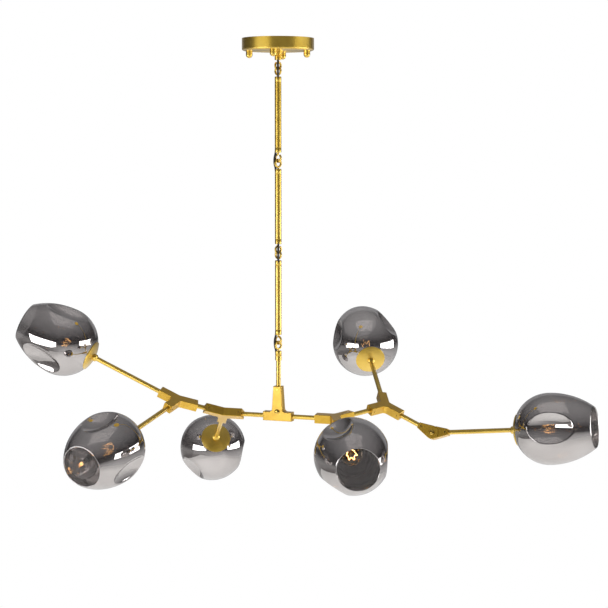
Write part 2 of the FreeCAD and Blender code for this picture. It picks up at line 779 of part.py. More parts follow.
def casting(name, angles):
    """Three arms in one plane (Z is its normal), the first along +X, with bored sockets."""
    arms = []
    drills = []
    screws = []
    for number, angle in enumerate(angles):
        spin = Rotation(UP, angle)
        arm = box(f"{name}_arm_{number}", d.arm_length, d.arm_width, d.arm_thickness)
        arm.Placement = Placement(Vector(), spin).multiply(
            Placement(Vector(0, -half_arm.value, -half_thick.value), Rotation()))
        arms.append(arm)
        along = spin.multVec(Vector(1, 0, 0))
        drills.append(stand(
            cylinder(f"{name}_socket_{number}", socket_radius, d.arm_length),
            along * arm_stop.value, along))
        drills.append(stand(
            cylinder(f"{name}_way_{number}", d.wire_chamber / 2, d.arm_length),
            Vector(), along))
        # set screws sit on the side that faces away from the lamp arm
        side = spin.multVec(Vector(0, -1 if number == 1 else 1, 0))
        base = along * (d.arm_length - d.grub_inset).value
        hole = cylinder(f"{name}_grub_hole_{number}", grub_hole, half_arm * 2)
        drills.append(stand(hole, base, side))
        screw = set_screw(f"{name}_grub_{number}",
                          half_arm + d.grub_proud - grub_tip - d.grub_play)
        screws.append(stand(screw, base + side * (grub_tip + d.grub_play).value, side))
    hub = cylinder(f"{name}_hub", half_arm, d.arm_thickness, z=-half_thick)
    star = fuse(f"{name}_star", arms + [hub])

    def in_crotch(edge):
        line = edge.Vertexes[0].Point - edge.Vertexes[-1].Point
        middle = edge.BoundBox.Center
        upright = line.Length > 1 and abs(line.normalize().z) > 0.99
        return upright and 1.0 < math.hypot(middle.x, middle.y) < d.arm_length.value - 2

    filled = rounded(f"{name}_filled", star, d.crotch_radius, in_crotch)

    def on_a_face(edge):
        box_ = edge.BoundBox
        flat = box_.ZLength < 0.01 and abs(abs(box_.ZMin) - half_thick.value) < 0.01
        return flat

    soft = rounded(f"{name}_soft", filled, d.casting_edge, on_a_face)
    return cut(f"{name}_bored", soft, drills), group(f"{name}_screws", screws)


CASTINGS = [
    ("left", left_at, tee_right, left_normal, LEFT_FORK),
    ("far_left", far_left_at, -left_next, far_left_normal, FAR_LEFT_FORK),
    ("right", right_at, -tee_right, right_normal, RIGHT_FORK),
    ("far_right", far_right_at, -right_next, far_right_normal, FAR_RIGHT_FORK),
]
for label, at, inward, normal, (turn, next_angle, lamp_angle) in CASTINGS:
    place = Placement(at, Rotation(inward, normal.cross(inward), normal, "XZY"))
    body, screws = casting(label, (0.0, next_angle, -lamp_angle))
    node(body, f"{label}_casting", place)
    node(screws, f"{label}_set_screws", place)

knuckle_stop = d.knuckle_length - d.knuckle_socket
TUBES = [
    ("left_tube", tee_middle, -tee_right, d.reach_left, tube_stop, arm_stop),
    ("far_left_tube", left_at, left_next, d.reach_far_left, arm_stop, arm_stop),
    ("right_tube", tee_middle, tee_right, d.reach_right, tube_stop, arm_stop),
    ("far_right_tube", right_at, right_next, d.reach_far_right, arm_stop, arm_stop),
    ("knuckle_tube", far_right_at, far_right_next, d.reach_knuckle, arm_stop, knuckle_stop),
]
for label, at, along, reach, first, last in TUBES:
    node(arm_tube(label, reach, first, last), label, frame(at, along, UP))

# ---------------------------------------------------------------- knuckle
lobe_radius = d.lobe_diameter / 2
half_width = d.knuckle_width / 2
half_end = d.knuckle_end_height / 2
# the straight flanks leave the lobe's circle at this lean
lean = math.asin((lobe_radius.value - half_end.value) / d.knuckle_length.value)
flank_x = lobe_radius * math.sin(lean)
flank_z = lobe_radius * math.cos(lean)
pivot_radius = d.pivot_diameter / 2


def blade(name, side):
    """Knuckle half: pivot at the origin, tube along +X, its lobe on one side along Y."""
    body = padded(name, "XZ_Plane", [
        (d.knuckle_length, -half_end),
        (d.knuckle_length, half_end),
        (flank_x, flank_z),
        (-lobe_radius, 0, lobe_radius, 1),
        (flank_x, -flank_z, lobe_radius, 1),
    ], d.knuckle_width)
    move(body, y=half_width)

    def on_a_side(edge):
        return edge.BoundBox.YLength < 0.01

    soft = rounded(name + "_soft", body, d.casting_edge * 0.6, on_a_side)
    room = cylinder(name + "_room", lobe_radius + d.blade_gap * 2, d.knuckle_width,
                    Vector(0, -side, 0), y=d.blade_gap / 2 * side)
    pivot = cylinder(name + "_pivot", pivot_radius + d.socket_play, d.knuckle_width * 2,
                     Vector(0, 1, 0), y=-d.knuckle_width)
    socket = cylinder(name + "_socket", socket_radius, d.knuckle_length, Vector(1, 0, 0),
                      x=knuckle_stop)
    hole = cylinder(name + "_hole", grub_hole, d.knuckle_width, Vector(0, 1, 0),
                    x=d.knuckle_length - d.grub_inset)
    return cut(name + "_cut", soft, [room, pivot, socket, hole])


def along_x(at, x_axis, y_axis):
    return Placement(at, Rotation(x_axis, y_axis, x_axis.cross(y_axis), "XYZ"))


inner_place = along_x(pivot_at, -far_right_next, pivot_axis)
outer_place = along_x(pivot_at, end_arm, pivot_axis)
node(blade("inner_blade", 1), "knuckle_inner_blade", inner_place)
node(blade("outer_blade", -1), "knuckle_outer_blade", outer_place)
pivot_screw = pan_screw("pivot_screw_body", pivot_radius, d.knuckle_width + d.blade_gap)
node(pivot_screw, "knuckle_pivot_screw", Placement(
    pivot_at + pivot_axis * (half_width + d.blade_gap).value, Rotation(UP, pivot_axis)))

blade_screw_x = (d.knuckle_length - d.grub_inset).value
for label, place in (("inner", inner_place), ("outer", outer_place)):
    screw = set_screw(f"{label}_blade_grub", half_width + d.grub_proud - grub_tip - d.grub_play)
    stand(screw, Vector(blade_screw_x, (grub_tip + d.grub_play).value, 0), Vector(0, 1, 0))
    node(screw, f"knuckle_{label}_set_screw", place)

# ---------------------------------------------------------------- lamps
# every piece of a lamp is drawn with the cup's rim in the XY plane and the shade along +Z


def behind(radius, at_radius):
    """Height of a sphere about the globe's middle, at this distance from the axis."""
    return d.globe_seat - (radius * radius - at_radius * at_radius).root()


cup_inside = d.globe_radius + d.cup_play
cup_outside = cup_inside + d.cup_wall
glass_inside = d.globe_radius - d.glass_wall
holder_back = behind(cup_inside, d.holder_radius) + d.base_play / 2
ring_back = behind(glass_inside, d.ring_radius) + d.base_play
holder_top = holder_back + d.holder_length
tube_inside = d.tube_bore / 2
collar_front = behind(cup_outside, d.cup_collar_radius)
collar_back = collar_front - d.cup_collar_length


def lamp_arm(name, reach, stop):
    """Arm tube with its brazed collar and cup, turned in one."""
    return turned(name, [
        (tube_inside, stop - reach),
        (tube_radius, stop - reach),
        (tube_radius, collar_back),
        (d.cup_collar_radius, collar_back + d.cup_collar_radius - tube_radius),
        (d.cup_collar_radius, collar_front),
        (d.cup_radius, behind(cup_outside, d.cup_radius), cup_outside, 1),
        (d.cup_radius, behind(cup_inside, d.cup_radius)),
        (tube_inside, behind(cup_inside, tube_inside), cup_inside, -1),
    ])


lampholder = turned("lampholder_body", [
    (0, holder_back),
    (d.holder_radius, holder_back),
    (d.holder_radius, ring_back),
    (d.ring_radius, ring_back),
    (d.ring_radius, ring_back + d.ring_height),
    (d.holder_radius, ring_back + d.ring_height),
    (d.holder_radius, holder_top),
    (d.base_radius + d.base_play, holder_top),
    (d.base_radius + d.base_play, holder_back + d.holder_floor),
    (0, holder_back + d.holder_floor),
])

bulb_place = holder_top + d.bulb_stand
bulb_foot = holder_back + d.holder_floor + d.base_play
neck_back = (d.bulb_radius * d.bulb_radius - d.bulb_neck_radius * d.bulb_neck_radius).root()
bulb_solid = turned("bulb_body", [
    (0, bulb_foot),
    (d.base_radius, bulb_foot),
    (d.base_radius, holder_top),
    (d.bulb_neck_radius, bulb_place - neck_back),
    (0, bulb_place + d.bulb_radius, d.bulb_radius, 1),
])
bulb_void = doc.addObject("Part::Sphere", "bulb_void")
bind(bulb_void, Radius=d.bulb_radius - d.bulb_wall)
move(bulb_void, z=bulb_place)
bulb = cut("bulb_hollow", bulb_solid, [bulb_void])

# shade: round back, then one long tangent curve to the open rim
rim_height = d.globe_seat + d.globe_reach
flare = d.globe_radius - d.globe_mouth
front_radius = (d.globe_reach * d.globe_reach + flare * flare) / (flare * 2)
front_middle = d.globe_radius - front_radius
inside_front = front_radius - d.glass_wall
inside_mouth = (
    (inside_front * inside_front - d.globe_reach * d.globe_reach).root() + front_middle)
glass_outer = turned("glass_outer", [
    (0, d.globe_seat - d.globe_radius),
    (d.globe_radius, d.globe_seat, d.globe_radius, 1),
    (d.globe_mouth, rim_height, front_radius, 1),
    (0, rim_height),
])
glass_inner = turned("glass_inner", [
    (0, d.globe_seat - glass_inside),
    (glass_inside, d.globe_seat, glass_inside, 1),
    (inside_mouth, rim_height, inside_front, 1),
    (inside_mouth, rim_height + d.glass_wall),
    (0, rim_height + d.glass_wall),
])


def dimple_tools(name, across):
    """Three rings laid along the shade, each pressing one long dimple into it."""
    tools = []
    for number in range(3):
        tool = doc.addObject("Part::Torus", f"{name}_{number}")
        bind(tool, Radius1=d.dimple_along - d.dimple_across, Radius2=across)
        outwards = Rotation(UP, 120.0 * number).multVec(Vector(1, 0, 0))
        middle = outwards * (d.globe_radius - d.dimple_depth + d.dimple_along).value
        middle.z = (d.globe_seat + d.dimple_place).value
        tool.Placement = Placement(middle, Rotation(UP, UP.cross(outwards)))
        tools.append(tool)
    return tools


pressed_outer = cut("pressed_outer", glass_outer, dimple_tools("press_out", d.dimple_across))
pressed_inner = cut("pressed_inner", glass_inner,
                    dimple_tools("press_in", d.dimple_across + d.glass_wall))
glass_hole = cylinder("glass_hole", d.holder_radius + d.glass_hole_play, d.globe_seat,
                      Vector(0, 0, -1))
shade = cut("shade_glass", pressed_outer, [pressed_inner, glass_hole])

LAMPS = [
    (far_left_at, far_left_next, d.lamp_reach_1, arm_stop),
    (far_left_at, far_left_lamp, d.lamp_reach_2, arm_stop),
    (left_at, left_lamp, d.lamp_reach_3, arm_stop),
    (right_at, right_lamp, d.lamp_reach_4, arm_stop),
    (far_right_at, far_right_lamp, d.lamp_reach_5, arm_stop),
    (pivot_at, end_arm, d.lamp_reach_6, knuckle_stop),
]
for number, (at, along, reach, stop) in enumerate(LAMPS, 1):
    place = frame(at + along * reach.value, along, UP)
    turn = Placement(Vector(), Rotation(UP, DIMPLE_TURNS[number - 1]))
    node(lamp_arm(f"lamp_arm_body_{number}", reach, stop), f"lamp_arm_{number}", place)
    node(group(f"holder_{number}", [lampholder]), f"lampholder_{number}", place)
    node(group(f"glass_{number}", [shade]), f"glass_shade_{number}", place.multiply(turn))
    node(group(f"light_{number}", [bulb]), f"bulb_{number}", place)

# ---------------------------------------------------------------- check and write
doc.recompute()
for thing in doc.Objects:
    if "Invalid" in thing.State or "Error" in thing.State:
        raise RuntimeError(f"{thing.Label} failed: {thing.State}")
os.makedirs("parts", exist_ok=True)
for thing in NODES:
    shape = thing.Shape
    if shape.isNull() or not shape.isValid() or not shape.Solids:
        raise RuntimeError(f"{thing.Label} has no valid solid")
    shape.exportStep(f"parts/{thing.Label}.step")
    print(thing.Label, len(shape.Solids), "solid(s)", round(shape.Volume), "mm3")
print(len(NODES), "sub-parts")
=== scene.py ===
"""Six-light branching pendant: satin brass stem and arms, smoked half-mirrored shades."""

import json
import math
import bmesh
import bpy
from mathutils import Matrix, Vector


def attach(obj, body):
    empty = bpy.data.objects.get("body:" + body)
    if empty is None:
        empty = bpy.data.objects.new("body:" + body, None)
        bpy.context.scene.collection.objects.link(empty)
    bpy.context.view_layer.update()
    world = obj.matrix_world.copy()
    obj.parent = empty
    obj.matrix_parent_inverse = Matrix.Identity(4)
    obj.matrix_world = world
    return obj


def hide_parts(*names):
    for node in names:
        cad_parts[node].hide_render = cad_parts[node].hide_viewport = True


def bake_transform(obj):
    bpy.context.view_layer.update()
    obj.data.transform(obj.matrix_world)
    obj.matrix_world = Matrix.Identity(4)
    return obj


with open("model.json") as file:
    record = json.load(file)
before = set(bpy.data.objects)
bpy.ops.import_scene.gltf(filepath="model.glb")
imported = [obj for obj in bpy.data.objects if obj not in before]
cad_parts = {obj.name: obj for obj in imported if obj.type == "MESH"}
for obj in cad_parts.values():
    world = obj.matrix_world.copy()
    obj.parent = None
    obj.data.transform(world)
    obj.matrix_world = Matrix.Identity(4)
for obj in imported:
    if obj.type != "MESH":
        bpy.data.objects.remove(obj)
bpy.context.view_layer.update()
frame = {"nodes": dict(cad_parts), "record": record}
MM = 0.001
UP = Vector((0, 0, 1))

# ------------------------------------------------------------------ camera
# lens and sensor in mm, place in metres, tilt in degrees up from straight down
LENS = 96.4
SENSOR = 36.0
CAMERA_AT = (0.0548, -3.4618, -0.2339)
CAMERA_TILT = 84.596

camera = bpy.data.objects.new("camera", bpy.data.cameras.new("camera"))
camera.data.lens = LENS
camera.data.sensor_width = SENSOR
camera.location = CAMERA_AT
camera.rotation_euler = (math.radians(CAMERA_TILT), 0, 0)
bpy.context.scene.collection.objects.link(camera)
bpy.context.scene.camera = camera


# ------------------------------------------------------------------ materials
def linear(code):
    """sRGB hex colour as linear RGBA."""
    parts = [int(code[at:at + 2], 16) / 255 for at in (1, 3, 5)]
    return tuple(c / 12.92 if c <= 0.04045 else ((c + 0.055) / 1.055) ** 2.4
                 for c in parts) + (1.0,)


def feed(tree, node, **inputs):
    """Give inputs, by name or as i and a number, another node's socket or a value."""
    for name, value in inputs.items():
        numbered = name[0] == "i" and name[1:].isdigit()
        socket = node.inputs[int(name[1:]) if numbered else name.replace("_", " ")]
        if isinstance(value, bpy.types.NodeSocket):
            tree.links.new(value, socket)
        else:
            socket.default_value = value


def colour_stops(elements, stops):
    """Set a colour ramp's elements to (position, hex colour) stops."""
    for element, (at, colour) in zip(elements, (stops[0], stops[-1])):
        element.position = at
        element.color = linear(colour)
    for at, colour in stops[1:-1]:
        elements.new(at).color = linear(colour)


def add(tree, kind, settings=None, **inputs):
    """One shader node with its settings, where stops fill a colour ramp, and its inputs."""
    made = tree.nodes.new(kind)
    for name, value in (settings or {}).items():
        if name == "stops":
            colour_stops(made.color_ramp.elements, value)
        else:
            setattr(made, name, value)
    feed(tree, made, **inputs)
    return made


def new_material(name):
    """Node material, its tree, its Principled shader and its object coordinates."""
    material = bpy.data.materials.new(name)
    material.use_nodes = True
    tree = material.node_tree
    shader = tree.nodes["Principled BSDF"]
    place = add(tree, "ShaderNodeTexCoord").outputs["Object"]
    return material, tree, shader, place


def metal(name, dark, middle, light, roughness, grain_mm, patch_mm, bump, lacquer=0.0,
          brushed=0.0):
    """Plated metal: cloudy tone over patches, fine grain in the gloss and the height.

    Lacquer lays a clear coat over it, and brushed stretches its highlights into streaks.
    """
    material, tree, shader, place = new_material(name)
    patches = add(tree, "ShaderNodeTexNoise", Vector=place, Scale=1 / (patch_mm * MM),
                  Detail=3.0, Roughness=0.6)
    grain = add(tree, "ShaderNodeTexNoise", Vector=place, Scale=1 / (grain_mm * MM),
                Detail=2.0, Roughness=0.5)
    tone = add(tree, "ShaderNodeValToRGB",
               {"stops": [(0.3, dark), (0.5, middle), (0.7, light)]},
               Fac=patches.outputs["Fac"])
    # the gloss varies by an eighth each way with the grain
    gloss = add(tree, "ShaderNodeMapRange", Value=grain.outputs["Fac"], From_Min=0.3,
                From_Max=0.7, To_Min=roughness * 0.88, To_Max=roughness * 1.12)
    height = add(tree, "ShaderNodeBump", Height=grain.outputs["Fac"], Strength=bump,
                 Distance=0.1 * MM)
    feed(tree, shader, Base_Color=tone.outputs["Color"], Metallic=1.0,
         Roughness=gloss.outputs["Result"], Normal=height.outputs["Normal"],
         Coat_Weight=lacquer, Coat_Roughness=roughness * 0.7, Anisotropic=brushed,
         Anisotropic_Rotation=0.25)
    return material


# the grain of every metal is drawn several times coarser than the real one, so that it shows
# drawn tube and turned parts, satin brass plate under clear lacquer: warm, soft highlights
satin_brass = metal("satin_brass", "#E2BA46", "#E8C350", "#EFCB5C", 0.38, 1.2, 45, 0.06,
                    lacquer=1.0, brushed=0.7)
# die cast zinc with the same plate: a slightly grainier skin, so a duller highlight
cast_brass = metal("cast_brass_plate", "#D8AA2C", "#DFB334", "#E6BB3E", 0.42, 0.9, 14, 0.3,
                   lacquer=1.0)
# machined brass screws: tighter highlights than the plate round them
screw_brass = metal("screw_brass", "#D9B24E", "#E2BC58", "#E9C564", 0.22, 0.8, 6, 0.1,
                    lacquer=0.5)
# zinc plated steel of the hidden bracket, also the lamps' leads: cool and grey
zinc_steel = metal("zinc_steel", "#A9ACB0", "#B6B9BC", "#C2C4C6", 0.35, 1.0, 8, 0.2)


def cable_sheath():
    """Black PVC sheath: matt, faintly pebbled by the extruder."""
    material, tree, shader, place = new_material("pvc_cable_sheath")
    # pebbles drawn coarser than the real ones, so that they show
    pebble = add(tree, "ShaderNodeTexNoise", Vector=place, Scale=1 / (0.8 * MM), Detail=2.0)
    tone = add(tree, "ShaderNodeValToRGB", {"stops": [(0.3, "#121212"), (0.7, "#1D1C1B")]},
               Fac=pebble.outputs["Fac"])
    height = add(tree, "ShaderNodeBump", Height=pebble.outputs["Fac"], Strength=0.2,
                 Distance=0.1 * MM)
    feed(tree, shader, Base_Color=tone.outputs["Color"], Roughness=0.45, IOR=1.52,
         Normal=height.outputs["Normal"])
    return material


def holder_plastic():
    """Black phenolic moulding of a lampholder: semi-matt with a fine spark-eroded grain."""
    material, tree, shader, place = new_material("phenolic_lampholder")
    # grain drawn coarser than the real one, so that it shows
    grain = add(tree, "ShaderNodeTexNoise", Vector=place, Scale=1 / (0.7 * MM), Detail=2.0)
    tone = add(tree, "ShaderNodeValToRGB", {"stops": [(0.3, "#191817"), (0.7, "#262423")]},
               Fac=grain.outputs["Fac"])
    height = add(tree, "ShaderNodeBump", Height=grain.outputs["Fac"], Strength=0.25,
                 Distance=0.1 * MM)
    feed(tree, shader, Base_Color=tone.outputs["Color"], Roughness=0.38, IOR=1.6,
         Normal=height.outputs["Normal"])
    return material


def smoked_glass():
    """Blown soda glass with a vapour-plated smoke mirror: half reflects, half shows through."""
    material, tree, shader, place = new_material("smoked_mirror_glass")
    cloud = add(tree, "ShaderNodeTexNoise", Vector=place, Scale=1 / (60 * MM), Detail=1.0)
    tone = add(tree, "ShaderNodeValToRGB", {"stops": [(0.35, "#CCC7C6"), (0.65, "#D2CECD")]},
               Fac=cloud.outputs["Fac"])
    # slow waves left by the blowing, about 25 mm from crest to crest
    wave = add(tree, "ShaderNodeTexNoise", Vector=place, Scale=1 / (25 * MM), Detail=1.0)
    height = add(tree, "ShaderNodeBump", Height=wave.outputs["Fac"], Strength=0.12,
                 Distance=1.0 * MM)
    feed(tree, shader, Base_Color=tone.outputs["Color"], Metallic=0.7, Roughness=0.0,
         IOR=1.52, Transmission_Weight=1.0, Normal=height.outputs["Normal"])
    return material


def clear_glass():
    """Clear soda glass of a lamp, blown thin: smooth, with hardly a tint."""
    material, tree, shader, place = new_material("clear_lamp_glass")
    tint = add(tree, "ShaderNodeTexNoise", Vector=place, Scale=1 / (20 * MM))
    tone = add(tree, "ShaderNodeValToRGB", {"stops": [(0.3, "#F6F1E8"), (0.7, "#FBF8F2")]},
               Fac=tint.outputs["Fac"])
    feed(tree, shader, Base_Color=tone.outputs["Color"], Roughness=0.0, IOR=1.47,
         Transmission_Weight=1.0)
    return material


def glowing_tungsten():
    """Tungsten wire glowing at about 2700 K, a little unevenly along its length."""
    material, tree, shader, place = new_material("glowing_tungsten")
    flicker = add(tree, "ShaderNodeTexNoise", Vector=place, Scale=1 / (6 * MM))
    tone = add(tree, "ShaderNodeValToRGB", {"stops": [(0.3, "#FFB25A"), (0.7, "#FFD08A")]},
               Fac=flicker.outputs["Fac"])
    feed(tree, shader, Base_Color=linear("#4A4038"), Roughness=0.5,
         Emission_Color=tone.outputs["Color"], Emission_Strength=12.0)
    return material


def floor_paint():
    """Matt white paint on the studio's floor: no gloss, just off white."""
    material, tree, shader, place = new_material("floor_paint")
    # three soft clouds to the metre
    cloud = add(tree, "ShaderNodeTexNoise", Vector=place, Scale=3.0)
    tone = add(tree, "ShaderNodeValToRGB", {"stops": [(0.3, "#F2F1EF"), (0.7, "#F6F5F3")]},
               Fac=cloud.outputs["Fac"])
    feed(tree, shader, Base_Color=tone.outputs["Color"], Roughness=0.9)
    return material


cable_black = cable_sheath()
phenolic = holder_plastic()
smoke_mirror = smoked_glass()
lamp_glass = clear_glass()
tungsten = glowing_tungsten()

# the metal nodes keep their own shape; the others are replaced further down
FINISHES = {
    "brushed_brass": satin_brass,
    "brass_plated_casting": cast_brass,
    "brass_screws": screw_brass,
    "zinc_steel": zinc_steel,
}
for part in frame["record"]["subparts"]:
    finish = FINISHES.get(part["material_slot"])
    if finish:
        mesh = frame["nodes"][part["node"]].data
        mesh.materials.clear()
        mesh.materials.append(finish)


# ------------------------------------------------------------------ layout
# lengths in mm, angles in degrees
TEE_LEVEL = -803.0
TEE_YAW = 18.8
REACH = {"left": 126.1, "right": 128.4, "far_left": 105.3, "far_right": 138.0,
         "knuckle": 126.3}
# each flat casting: its turn about the first arm, then the angles to the other two arms
FORKS = {"left": (150.6, 145.0, 114.8), "far_left": (27.7, 156.5, 122.6),
         "right": (173.2, 123.4, 114.6), "far_right": (-25.5, 108.1, 119.1)}
KNUCKLE_TURN = 71.3
KNUCKLE_BEND = 29.0


def turned(vector, axis, degrees):
    """The vector turned about an axis through the origin."""
    return Matrix.Rotation(math.radians(degrees), 3, axis) @ vector


def highest_square_to(along):
    """The direction square to a tube that points up most."""
    return (UP - along * UP.dot(along)).normalized()


def fork(inward, turn, next_angle, lamp_angle):
    """Next arm and lamp arm of a flat three-way casting whose first arm points inward."""
    normal = turned(highest_square_to(inward), inward, turn)
    return turned(inward, normal, next_angle), turned(inward, normal, -lamp_angle)


tee = Vector((0, 0, TEE_LEVEL * MM))
tee_right = turned(Vector((1, 0, 0)), UP, -TEE_YAW)
left_at = tee - tee_right * REACH["left"] * MM
left_next, left_lamp = fork(tee_right, *FORKS["left"])
far_left_at = left_at + left_next * REACH["far_left"] * MM
far_left_next, far_left_lamp = fork(-left_next, *FORKS["far_left"])
right_at = tee + tee_right * REACH["right"] * MM
right_next, right_lamp = fork(-tee_right, *FORKS["right"])
far_right_at = right_at + right_next * REACH["far_right"] * MM
far_right_next, far_right_lamp = fork(-right_next, *FORKS["far_right"])
pivot_at = far_right_at + far_right_next * REACH["knuckle"] * MM
pivot_axis = turned(highest_square_to(far_right_next), far_right_next, KNUCKLE_TURN)
end_arm = turned(far_right_next, pivot_axis, KNUCKLE_BEND)

# casting or pivot, direction, reach to the cup's rim in mm, turn of the dimples, body
LAMPS = [
    (far_left_at, far_left_next, 217, 110, "far_left_arm"),
    (far_left_at, far_left_lamp, 206, 118, "far_left_arm"),
    (left_at, left_lamp, 194, 105, "left_arm"),
    (right_at, right_lamp, 197.5, 27, "right_arm"),
    (far_right_at, far_right_lamp, 194, 45, "far_right_arm"),
    (pivot_at, end_arm, 187, 80, "end_arm"),
]


def lamp_place(at, along, reach):
    """Frame whose origin is the cup's rim and whose Z is the way the shade points."""
    y_axis = along.cross(UP).normalized()
    x_axis = y_axis.cross(along).normalized()
    turn = Matrix((x_axis, y_axis, along)).transposed().to_4x4()
    return Matrix.Translation(at + along * reach * MM) @ turn


# ------------------------------------------------------------------ mesh helpers
def piece(name, bm, material, body):
    """A bmesh in metres becomes a named smooth piece that rides on a body."""
    mesh = bpy.data.meshes.new(name)
    bm.to_mesh(mesh)
    bm.free()
    made = bpy.data.objects.new(name, mesh)
    bpy.context.scene.collection.objects.link(made)
    mesh.materials.append(material)
    for face in mesh.polygons:
        face.use_smooth = True
    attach(made, body)
    return made


def spun(points, steps):
    """Closed or open turning of (radius, height) points in mm about Z."""
    bm = bmesh.new()
    ring = [bm.verts.new((r * MM, 0, z * MM)) for r, z in points]
    edges = [bm.edges.new(pair) for pair in zip(ring, ring[1:])]
    bmesh.ops.spin(bm, geom=ring + edges, cent=(0, 0, 0), axis=(0, 0, 1),
                   angle=math.tau, steps=steps, use_merge=True)
    bmesh.ops.remove_doubles(bm, verts=bm.verts, dist=0.01 * MM)
    bmesh.ops.recalc_face_normals(bm, faces=bm.faces)
    return bm


def arc(centre, radius, start, end, count):
    """Points of an arc, angles in degrees from the radial direction."""
    return [(centre[0] + radius * math.cos(math.radians(start + (end - start) * k / count)),
             centre[1] + radius * math.sin(math.radians(start + (end - start) * k / count)))
            for k in range(count + 1)]


def wire(name, stops, radius, place, material):
    """Round wire on a smooth line led by the stops, or the bare line at radius 0.

    The stops are in metres in the frame of place, and the radius is in mm.
    """
    curve = bpy.data.curves.new(name, "CURVE")
    curve.dimensions = "3D"
    curve.bevel_depth = radius * MM
    curve.bevel_resolution = 2
    curve.resolution_u = 6
    line = curve.splines.new("NURBS")
    line.points.add(len(stops) - 1)
    for point, stop in zip(line.points, stops):
        point.co = (*(place @ stop), 1)
    line.order_u = 3
    line.use_endpoint_u = True
    source = bpy.data.objects.new(name + "_line", curve)
    bpy.context.scene.collection.objects.link(source)
    bpy.context.view_layer.update()
    shown = source.evaluated_get(bpy.context.evaluated_depsgraph_get())
    mesh = bpy.data.meshes.new_from_object(shown)
    bpy.data.objects.remove(source)
    mesh.name = name
    made = bpy.data.objects.new(name, mesh)
    bpy.context.scene.collection.objects.link(made)
    mesh.materials.clear()
    mesh.materials.append(material)
    return made


# ------------------------------------------------------------------ shades
# radii in mm; the globe's middle lies SEAT in front of the cup's rim, and the rim of its
# mouth lies REACH_TO_RIM in front of the middle
GLOBE = 75.0
SEAT = 67.0
REACH_TO_RIM = 95.0
MOUTH = 43.0
WALL = 2.5
HOLE = 14.5
BACK_ROWS, FRONT_ROWS, AROUND = 66, 52, 264
# the egg-shaped tool that presses each dimple: how deep, its half sizes across and along,
# how far in front of the globe's middle, its lean in degrees and how soft its edge is
DIMPLES = 3
DIMPLE_DEPTH = 20.5
DIMPLE_ACROSS = 46.0
DIMPLE_ALONG = 76.0
DIMPLE_PLACE = 32.5
DIMPLE_TILT = 5.0
DIMPLE_EDGE = 2.2


def pressed(point, turn):
    """Where a point of the blown shade goes when the tool has pressed it from each side."""
    tilt = math.radians(DIMPLE_TILT)
    for number in range(DIMPLES):
        angle = math.radians(turn + 360 / DIMPLES * number)
        out = Vector((math.cos(angle), math.sin(angle), 0))
        across = Vector((-out.y, out.x, 0))
        inward = (UP * math.sin(tilt) - out * math.cos(tilt)).normalized()
        along = inward.cross(across)
        foot = out * (GLOBE - DIMPLE_DEPTH) + UP * (SEAT + DIMPLE_PLACE)
        local = point - foot
        sideways = (local.dot(across) / DIMPLE_ACROSS) ** 2
        lengthways = (local.dot(along) / DIMPLE_ALONG) ** 2
        share = 1 - sideways - lengthways
        if point.dot(out) > 0 and share > 0:
            surface = DIMPLE_ACROSS * (math.sqrt(share) - 1)
            inside = surface - local.dot(inward)
            if inside >= DIMPLE_EDGE:
                point = point + inward * inside
            elif inside > -DIMPLE_EDGE:
                point = point + inward * (inside + DIMPLE_EDGE) ** 2 / (4 * DIMPLE_EDGE)
    return point


def shade(number, place, turn, body):
    """Blown globe drawn out to an open mouth, dimpled, with a wall of even thickness."""
    flare = GLOBE - MOUTH
    front = (REACH_TO_RIM ** 2 + flare ** 2) / (flare * 2)
    back_start = -math.degrees(math.acos(HOLE / GLOBE))
    front_end = math.degrees(math.asin(REACH_TO_RIM / front))
    outline = arc((0, SEAT), GLOBE, back_start, 0, BACK_ROWS)
    outline += arc((GLOBE - front, SEAT), front, 0, front_end, FRONT_ROWS)[1:]
    bm = spun(outline, AROUND)
    for vert in bm.verts:
        vert.co = pressed(vert.co / MM, turn) * MM
    bmesh.ops.recalc_face_normals(bm, faces=bm.faces)
    bm.transform(place)
    made = piece(f"smoked_shade_{number}", bm, smoke_mirror, body)
    wall = made.modifiers.new("wall", "SOLIDIFY")
    wall.thickness = WALL * MM
    wall.offset = -1
    wall.use_even_offset = True
    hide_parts(f"glass_shade_{number}")


# ------------------------------------------------------------------ lampholder
# radii in mm, and heights in mm from the cup's rim
HOLDER, HOLDER_BORE = 13.8, 7.3
HOLDER_BACK, HOLDER_FLOOR, HOLDER_FRONT = -7.0, 10, 34
RING, RING_BACK, RING_FRONT = 20.2, -2, 3.2
SKIRT_THREADS, SKIRT_START, SKIRT_PITCH, SKIRT_ROOT = 9, 5, 3, 12.9


def lampholder(number, place, body):
    """Moulded holder with its threaded skirt and the ring that grips the shade."""
    outline = [(0, HOLDER_BACK), (HOLDER, HOLDER_BACK), (HOLDER, RING_BACK)]
    outline += [(RING - 0.2, RING_BACK), (RING, RING_BACK + 0.8), (RING, RING_FRONT - 0.8),
                (RING - 0.2, RING_FRONT), (HOLDER, RING_FRONT + 0.2)]
    for step in range(SKIRT_THREADS):
        low = SKIRT_START + step * SKIRT_PITCH
        outline += [(SKIRT_ROOT, low), (HOLDER, low + 0.8), (HOLDER, low + 1.6),
                    (SKIRT_ROOT, low + 2.4)]
    outline += [(SKIRT_ROOT, HOLDER_FRONT - 0.6), (SKIRT_ROOT - 0.5, HOLDER_FRONT),
                (HOLDER_BORE + 0.7, HOLDER_FRONT), (HOLDER_BORE, HOLDER_FRONT - 1),
                (HOLDER_BORE, HOLDER_FLOOR), (0, HOLDER_FLOOR)]
    bm = spun(outline, 48)
    bm.transform(place)
    made = piece(f"phenolic_holder_{number}", bm, phenolic, body)
    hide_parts(f"lampholder_{number}")


